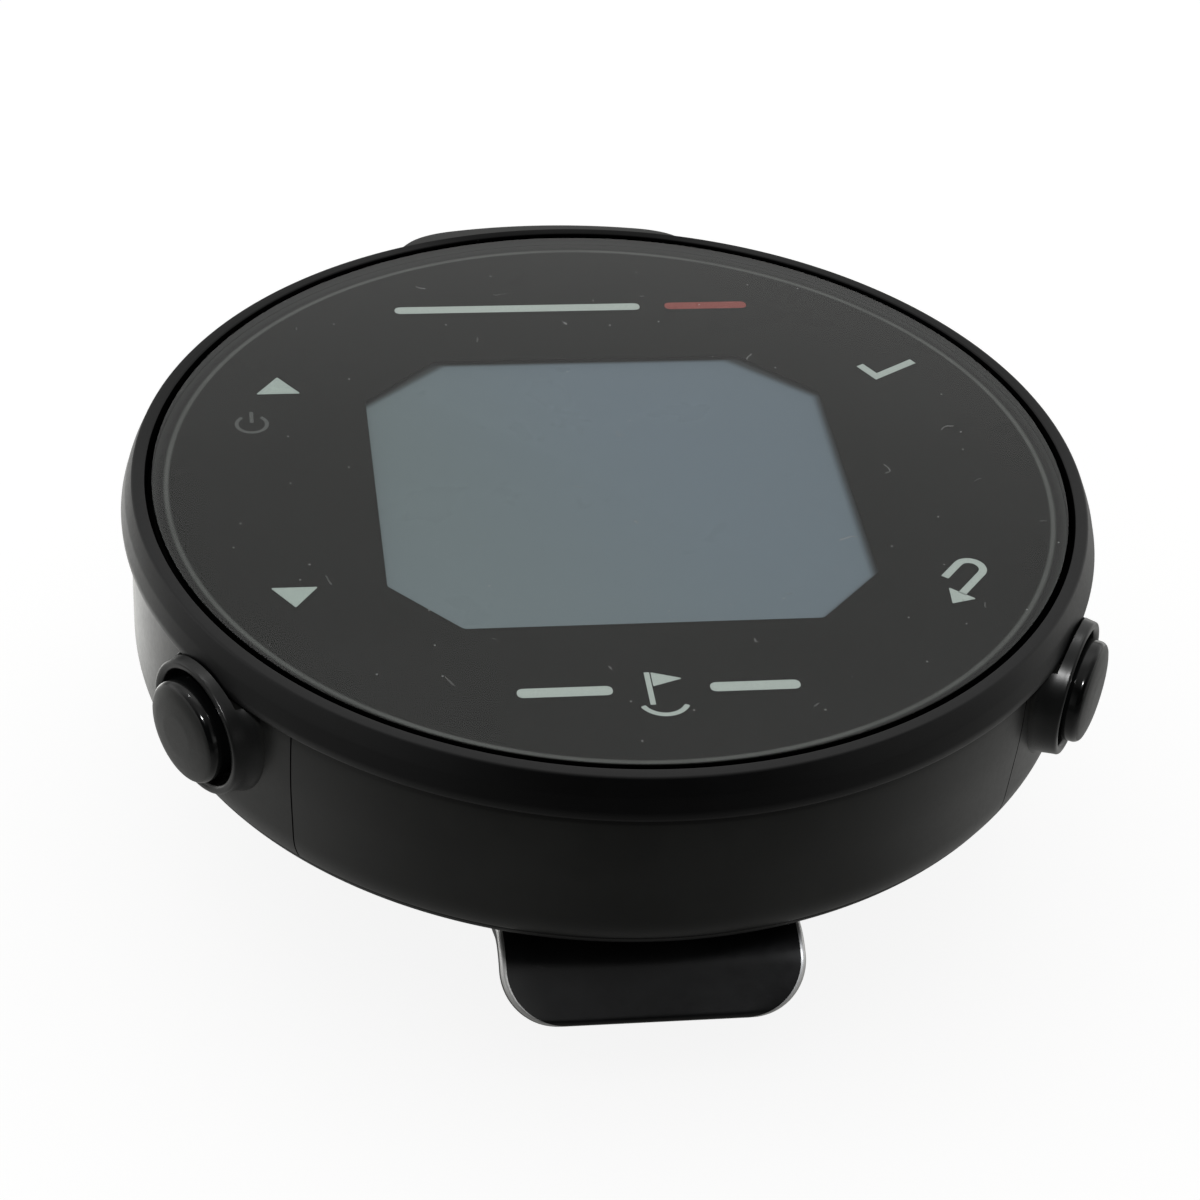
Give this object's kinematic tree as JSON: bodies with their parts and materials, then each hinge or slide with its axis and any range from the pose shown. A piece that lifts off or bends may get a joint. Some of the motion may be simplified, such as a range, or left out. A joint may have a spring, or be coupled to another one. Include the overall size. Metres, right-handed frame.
{
  "type": "clip-on golf gps unit",
  "caption": "Round, sealed clip-on golf GPS unit: flat dark window in a conical bezel, side push buttons, and a sprung hinged belt clip on the back.",
  "frame": {"origin": "on the case axis, in the plane of the clip arm's flat outer pad, which is the face the unit rests on", "axes": "+Z out of the window along the case axis, +Y towards the hinge lug (twelve o'clock of the display), +X to the right of the display; the clip pad faces -Z"},
  "size_m": [0.0496, 0.0544, 0.0194],
  "materials": {
    "window": "chemically strengthened, gloss, with a dark printed mask behind it",
    "adhesive": "matt foam tape",
    "bezel": "satin, fine texture",
    "band": "fine spark-eroded texture",
    "cover": "fine spark-eroded texture",
    "rubber": "matt",
    "frame_plastic": "matt",
    "display": "reflective grey, switched off",
    "light_guide": "clear moulded",
    "flex": "amber film",
    "board": "solder mask",
    "steel": "bright",
    "spring_steel": "bright drawn wire",
    "chip": "moulded epoxy",
    "ceramic": "fired ceramic",
    "battery_foil": "aluminised pouch",
    "foam": "open-cell foam",
    "wire": "insulated",
    "gold": "gold plated",
    "button": "satin face, gloss side",
    "clip_coating": "satin black coating on spring steel, bright at its edges"
  },
  "bodies": {
    "case": {"lens": "window", "lens_adhesive": "adhesive", "bezel": "bezel", "case_band": "band", "back_cover": "cover", "case_seal": "rubber", "internal_frame": "frame_plastic", "display_panel": "display", "light_guide": "light_guide", "display_flex": "flex", "main_board": "board", "shield_can": "steel", "processor": "chip", "memory_chip": "chip", "gps_antenna": "ceramic", "battery": "battery_foil", "battery_pad": "foam", "battery_connector": "ceramic", "battery_lead": "wire", "charge_port": "frame_plastic", "charge_contact_1": "gold", "charge_contact_2": "gold", "charge_contact_3": "gold", "charge_contact_4": "gold", "charge_flex": "flex", "back_screw_1": "steel", "back_screw_2": "steel", "back_screw_3": "steel", "back_screw_4": "steel", "clip_pin": "steel", "clip_spring": "spring_steel", "button_seal_up": "rubber", "button_seal_down": "rubber", "button_seal_ok": "rubber", "button_seal_back": "rubber", "switch_up": "chip", "switch_down": "chip", "switch_ok": "chip", "switch_back": "chip"},
    "push_up": {"button_up": "button", "retaining_clip_up": "steel", "switch_plunger_up": "frame_plastic"},
    "push_down": {"button_down": "button", "retaining_clip_down": "steel", "switch_plunger_down": "frame_plastic"},
    "push_ok": {"button_ok": "button", "retaining_clip_ok": "steel", "switch_plunger_ok": "frame_plastic"},
    "push_back": {"button_back": "button", "retaining_clip_back": "steel", "switch_plunger_back": "frame_plastic"},
    "clip": {"clip_arm": "clip_coating"}
  },
  "joints": [
    {"name": "press_up", "type": "slide", "parent": "case", "child": "push_up", "axis": [0.8039, -0.5948, 0], "range_m": [0, 0.00045], "stiffness_N_per_m": 2500},
    {"name": "press_down", "type": "slide", "parent": "case", "child": "push_down", "axis": [0.8453, 0.5344, 0], "range_m": [0, 0.00045], "stiffness_N_per_m": 2500},
    {"name": "press_ok", "type": "slide", "parent": "case", "child": "push_ok", "axis": [-0.8039, -0.5948, 0], "range_m": [0, 0.00045], "stiffness_N_per_m": 2500},
    {"name": "press_back", "type": "slide", "parent": "case", "child": "push_back", "axis": [-0.8599, 0.5105, 0], "range_m": [0, 0.00045], "stiffness_N_per_m": 2500},
    {"name": "clip_hinge", "type": "hinge", "parent": "case", "child": "clip", "pos_m": [0, 0.0264, 0.0112], "axis": [1, 0, 0], "range_deg": [0, 22], "stiffness_Nm_per_rad": 0.6, "springref_deg": -1.72, "deforming": ["clip_spring"]}
  ]
}
